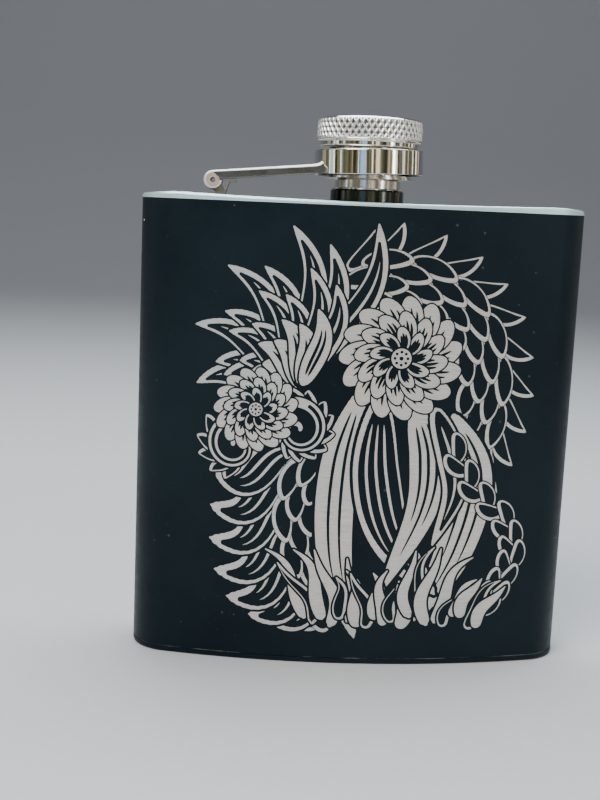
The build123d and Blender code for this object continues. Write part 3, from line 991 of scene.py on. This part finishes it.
def coat_with_painted_rim():
    """The black coat, with a painted highlight of pale bright steel where the plate rolls over its edge."""
    shader = black_coat("coat_with_painted_rim_highlight")
    normal = shader.add("ShaderNodeNewGeometry").outputs["Normal"]
    up = shader.add("ShaderNodeSeparateXYZ", {0: normal}).outputs["Z"]
    ragged = shader.maths("ADD", up, shader.ramp(shader.noise(700.0, 4.0), 0.3, 0.7, -0.03, 0.03))
    # painted highlight: pale cyan-white steel wherever the plate's surface tips away from upright, along its
    # rolled-over rim
    wear_and_highlight = shader.ramp(ragged, 0.80, 0.92, 1.0, 0.0, smooth=True)
    mix_in_wear_and_highlight(shader, wear_and_highlight, (0.70, 0.90, 0.93, 1), 0.42)
    return shader


def scuffed_coat():
    """The black coat on the panel's lower edge, rubbed through to steel in places."""
    shader = black_coat("scuffed_coat")
    wear_and_highlight = shader.ramp(shader.noise(75.0, 6.0, 0.7), 0.50, 0.66, 0.0, 0.5)
    mix_in_wear_and_highlight(shader, wear_and_highlight, (0.50, 0.53, 0.54, 1), 0.4)
    return shader


def soft_plastic(name, colour, rough, grain):
    """Moulded rubber or plastic with a faint mottle."""
    shader = Shader(name, Metallic=0.0)
    mottle = shader.ramp(shader.noise(grain, 4.0), 0.3, 0.7)
    dark = darker(colour, 0.8)
    shader.drive("Base Color", shader.mix(mottle, colour, dark))
    shader.drive("Roughness", shader.ramp(shader.noise(grain * 4, 3.0), 0.3, 0.7, rough - 0.08, rough + 0.08))
    shader.bump(shader.noise(grain * 6, 2.0), 0.015)
    return shader.material


def dress(node, material):
    """Gives a CAD node a material in place of the one it came with."""
    obj = nodes[node]
    for slot in obj.material_slots:
        slot.material = material


# ---- camera ----
def make_camera():
    """The photograph's viewing angle: level with the top plate, a little to the left, tipped and rolled."""
    data = bpy.data.cameras.new("camera")
    data.lens = 53.75
    data.sensor_width = 36
    cam = bpy.data.objects.new("camera", data)
    bpy.context.scene.collection.objects.link(cam)
    eye = Vector((-24.6, -257.3, 97.0)) * MM
    pitch, turn_left, roll = 0.159, 0.048, 0.043
    cam.matrix_world = (
        Matrix.Translation(eye)
        @ Matrix.Rotation(-turn_left, 4, "Z")
        @ Matrix.Rotation(math.pi / 2 - pitch, 4, "X")
        @ Matrix.Rotation(roll, 4, "Z")
    )
    data.clip_start, data.clip_end = 0.01, 20
    bpy.context.scene.camera = cam


# ---- studio ----
def make_floor():
    """Pale sweep: a floor that curves up into a backdrop."""
    back, radius, high, half_width = 1.7, 0.7, 2.2, 2.4
    profile = [(-1.8, 0.0), (back - radius, 0.0)]
    profile += [
        (back - radius + radius * math.sin(a), radius - radius * math.cos(a))
        for a in np.linspace(0, math.pi / 2, 17)[1:]
    ]
    profile.append((back, high))
    verts = [(x / MM, y / MM, z / MM) for y, z in profile for x in (-half_width, half_width)]
    faces = [(2 * i, 2 * i + 1, 2 * i + 3, 2 * i + 2) for i in range(len(profile) - 1)]
    paper = Shader("floor_paper", Roughness=0.85)
    fibre = paper.ramp(paper.noise(900.0, 3.0), 0.3, 0.7)
    paper.drive("Base Color", paper.mix(fibre, (0.62, 0.63, 0.65, 1), (0.60, 0.61, 0.63, 1)))
    make_object("floor", verts, faces, [paper.material], sharp=60)


def area_light(name, at, aim, size, power, colour=(1, 1, 1)):
    data = bpy.data.lights.new(name, "AREA")
    data.shape = "RECTANGLE"
    data.size, data.size_y = size
    data.energy = power
    data.color = colour
    lamp = bpy.data.objects.new(name, data)
    bpy.context.scene.collection.objects.link(lamp)
    lamp.location = at
    lamp.rotation_mode = "QUATERNION"
    lamp.rotation_quaternion = (Vector(aim) - Vector(at)).to_track_quat("-Z", "Y")


def make_world():
    """Dim room. Glossy rays find upright light and dark bands in it, as of windows, doors and furniture."""
    world = bpy.data.worlds.new("studio")
    bpy.context.scene.world = world
    world.use_nodes = True
    room = Shader("studio", world.node_tree)
    background = room.tree.nodes["Background"]
    outwards = room.add("ShaderNodeTexCoord").outputs["Generated"]
    way = room.add("ShaderNodeSeparateXYZ", {0: outwards}).outputs
    round_about = room.maths("ARCTAN2", way["X"], room.maths("MULTIPLY", way["Y"], -1.0))
    bands_start = 25.5               # picks the stretch of noise that the bands are cut from

    def bands(scale, detail, shift):
        place = room.maths("ADD", round_about, bands_start + shift)
        values = {"W": place, "Scale": scale, "Detail": detail, "Roughness": 0.6}
        return room.add("ShaderNodeTexNoise", values, noise_dimensions="1D").outputs["Fac"]

    shade = room.ramp(bands(3.7, 2.0, 0.4), 0.4, 0.6)
    olive = room.mix(shade, (0.030, 0.034, 0.022, 1), (0.21, 0.205, 0.11, 1))
    light = room.ramp(bands(3.1, 2.0, 3.7), 0.54, 0.60, smooth=True)
    hue = room.ramp(bands(4.2, 1.0, 9.2), 0.40, 0.60, smooth=True)
    pale = room.mix(hue, (1.5, 1.20, 0.66, 1), (0.42, 0.74, 1.20, 1))
    blush = room.ramp(bands(5.0, 0.0, 1.3), 0.48, 0.58)
    rosy = room.mix(blush, pale, (1.5, 0.86, 0.70, 1))
    banded = room.mix(light, olive, rosy)
    streaks = room.ramp(bands(10.0, 0.0, 5.1), 0.67, 0.71, smooth=True)
    banded = room.mix(streaks, banded, (1.9, 1.9, 1.7, 1))
    from_front = room.maths("ABSOLUTE", room.maths("SUBTRACT", round_about, 0.25))
    behind = room.ramp(from_front, 1.9, 2.25, 0.0, 0.8, smooth=True)
    banded = room.mix(behind, banded, (0.045, 0.055, 0.055, 1))
    plain = (0.16, 0.175, 0.20, 1)
    glossy = room.add("ShaderNodeLightPath").outputs["Is Glossy Ray"]
    room.tree.links.new(room.mix(glossy, plain, banded), background.inputs["Color"])
    background.inputs["Strength"].default_value = 1.0


def make_lights():
    middle = (0, 0, 0.06)
    area_light("key", (-0.30, -0.40, 0.62), middle, (0.5, 0.4), 5.5, (1.0, 0.97, 0.93))
    area_light("top", (0.05, 0.16, 0.6), middle, (0.6, 0.35), 4.5, (0.90, 0.97, 1.0))
    area_light("fill", (0.5, -0.45, 0.3), middle, (0.07, 0.5), 0.8, (0.95, 0.98, 1.0))


# ---- everything ----
coat = black_coat("black_powder_coat").material
polished = steel("polished_steel", (0.88, 0.85, 0.79, 1), 0.05, 0.12, (60.0, 60.0, 900.0), 0.0015, warp=0.03)
brushed_grain = (250.0, 2500.0, 5000.0)
# the arm's side walls: steel with a brush-marked grain, its colour darkened with painted shade
brushed_and_shaded = steel("brushed_steel_painted_shade", (0.19, 0.185, 0.165, 1), 0.22, 0.36, brushed_grain, 0.006, warp=0.03)
turned = steel("turned_steel", (0.84, 0.79, 0.73, 1), 0.14, 0.26, (90.0, 90.0, 14000.0), 0.004)
# the hinge bracket's steel, its colour darkened with painted shade
shaded_bracket_steel = steel("stamped_steel", (0.40, 0.385, 0.33, 1), 0.28, 0.4, (300.0, 2500.0, 4000.0), 0.006, warp=0.01)
# the arm's web and curls: the same steel made near white with painted highlight
rolled = steel("rolled_steel_painted_highlight", (0.98, 0.94, 0.87, 1), 0.36, 0.48, (300.0, 2500.0, 4000.0), 0.006, metal=0.75)
pin_steel = steel("pin_steel", (0.66, 0.50, 0.42, 1), 0.34, 0.46, (900.0, 300.0, 900.0), 0.006, metal=0.4)
dark_steel = steel("dark_boss", (0.075, 0.083, 0.072, 1), 0.14, 0.24, (90.0, 90.0, 14000.0), 0.003)
weld = steel("weld_bead", (0.92, 0.92, 0.88, 1), 0.22, 0.4, (900.0, 900.0, 900.0), 0.01)

make_front_panel(coat, etched_steel(), scuffed_coat().material)
make_knob(knurled_steel(), polished)
make_arm(polished, brushed_and_shaded, rolled)
make_boss(dark_steel, weld)
dress("back_panel", coat)
dress("bottom_plate", coat)
dress("top_plate", coat_with_painted_rim().material)
for name in ("neck_spout", "cap_core", "slip_washer"):
    dress(name, turned)
dress("hinge_bracket", shaded_bracket_steel)
dress("hinge_pin", pin_steel)
dress("cap_gasket", soft_plastic("gasket_rubber", (0.55, 0.55, 0.52, 1), 0.6, 700.0))
dress("knob_filler", soft_plastic("filler_plastic", (0.70, 0.68, 0.62, 1), 0.5, 900.0))

make_camera()
make_floor()
make_world()
make_lights()
